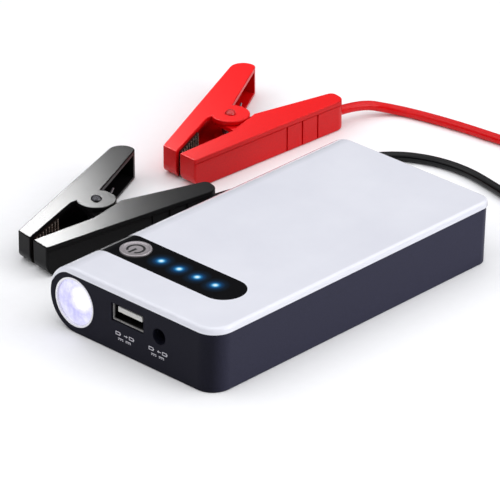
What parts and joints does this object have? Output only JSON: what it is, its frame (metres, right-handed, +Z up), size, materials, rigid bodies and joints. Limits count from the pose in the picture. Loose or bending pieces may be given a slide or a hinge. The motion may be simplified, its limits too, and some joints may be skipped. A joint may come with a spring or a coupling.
{
  "type": "jump starter pack",
  "caption": "Flat pocket jump starter with a barrel torch edge, indicator strip, power button and ports, and its red and black clamp leads lying unplugged beside it.",
  "frame": {"origin": "centre of the pack's base", "axes": "+Z up, -Y towards the torch and ports, -X towards the barrel edge and the clamps"},
  "size_m": [0.2341, 0.2236, 0.0255],
  "materials": {
    "cover_white": "gloss",
    "case_black": "satin",
    "strip_black": "gloss",
    "button_silver": "satin",
    "black_moulding": "matte",
    "circuit_board": "matte",
    "light_pipe": "gloss",
    "nickel": "satin",
    "port_white": "gloss",
    "brass": "satin",
    "torch_ring": "gloss",
    "torch_lens": "gloss",
    "mirror_cup": "gloss",
    "cell_foil": "satin",
    "foam": "matte",
    "steel": "satin",
    "plug_blue": "satin",
    "rubber": "matte",
    "black_clamp": "satin",
    "red_clamp": "satin",
    "jaw_copper": "satin",
    "black_pin": "satin",
    "red_pin": "satin",
    "black_cable": "gloss",
    "red_cable": "gloss"
  },
  "bodies": {
    "pack": {"top_cover": "cover_white", "bottom_case": "case_black", "case_screws": "steel", "indicator_strip": "strip_black", "button_switch": "black_moulding", "indicator_board": "circuit_board", "indicator_lights": "light_pipe", "main_circuit_board": "circuit_board", "board_components": "black_moulding", "usb_shell": "nickel", "usb_tongue": "port_white", "usb_contacts": "brass", "dc_jack_body": "black_moulding", "dc_jack_pin": "nickel", "torch_bezel": "torch_ring", "torch_lens": "torch_lens", "torch_reflector": "mirror_cup", "torch_led": "light_pipe", "torch_board": "circuit_board", "battery_cells": "cell_foil", "cell_pads": "foam", "cell_board": "circuit_board", "cell_tabs": "nickel", "internal_leads": "black_cable", "lead_socket_body": "plug_blue", "lead_socket_contacts": "brass", "socket_cover_pin": "steel"},
    "power_button": {"power_button": "button_silver"},
    "socket_cover": {"socket_cover": "rubber"},
    "lead_set": {"black_clamp_lower_lever": "black_clamp", "black_clamp_lower_jaw": "jaw_copper", "black_clamp_pin": "black_pin", "black_clamp_spring": "steel", "black_cable_crimp": "jaw_copper", "black_cable": "black_cable", "red_clamp_lower_lever": "red_clamp", "red_clamp_lower_jaw": "jaw_copper", "red_clamp_pin": "red_pin", "red_clamp_spring": "steel", "red_cable_crimp": "jaw_copper", "red_cable": "red_cable", "plug_boot": "rubber", "plug_housing": "plug_blue", "plug_pins": "brass"},
    "black_clamp_upper": {"black_clamp_upper_lever": "black_clamp", "black_clamp_upper_jaw": "jaw_copper"},
    "red_clamp_upper": {"red_clamp_upper_lever": "red_clamp", "red_clamp_upper_jaw": "jaw_copper"}
  },
  "joints": [
    {"name": "power_button_press", "type": "slide", "parent": "pack", "child": "power_button", "axis": [0, 0, -1], "range_m": [0, 0.0005], "stiffness_N_per_m": 2000, "springref_m": -0.0003},
    {"name": "socket_cover_hinge", "type": "hinge", "parent": "pack", "child": "socket_cover", "pos_m": [0.002, 0.06865, 0.0059], "axis": [-1, 0, 0], "range_deg": [0, 90]},
    {"name": "lead_set_lift", "type": "slide", "parent": "pack", "child": "lead_set", "axis": [0, 0, 1], "range_m": [0, 0.06]},
    {"name": "black_clamp_open", "type": "hinge", "parent": "lead_set", "child": "black_clamp_upper", "pos_m": [-0.0787, -0.0091, 0.006], "axis": [0, 0, -1], "range_deg": [0, 40], "stiffness_Nm_per_rad": 0.6, "springref_deg": -20.05, "deforming": ["black_clamp_spring"]},
    {"name": "red_clamp_open", "type": "hinge", "parent": "lead_set", "child": "red_clamp_upper", "pos_m": [-0.0936, 0.075, 0.006], "axis": [0, 0, -1], "range_deg": [0, 40], "stiffness_Nm_per_rad": 0.6, "springref_deg": -20.05, "deforming": ["red_clamp_spring"]}
  ]
}
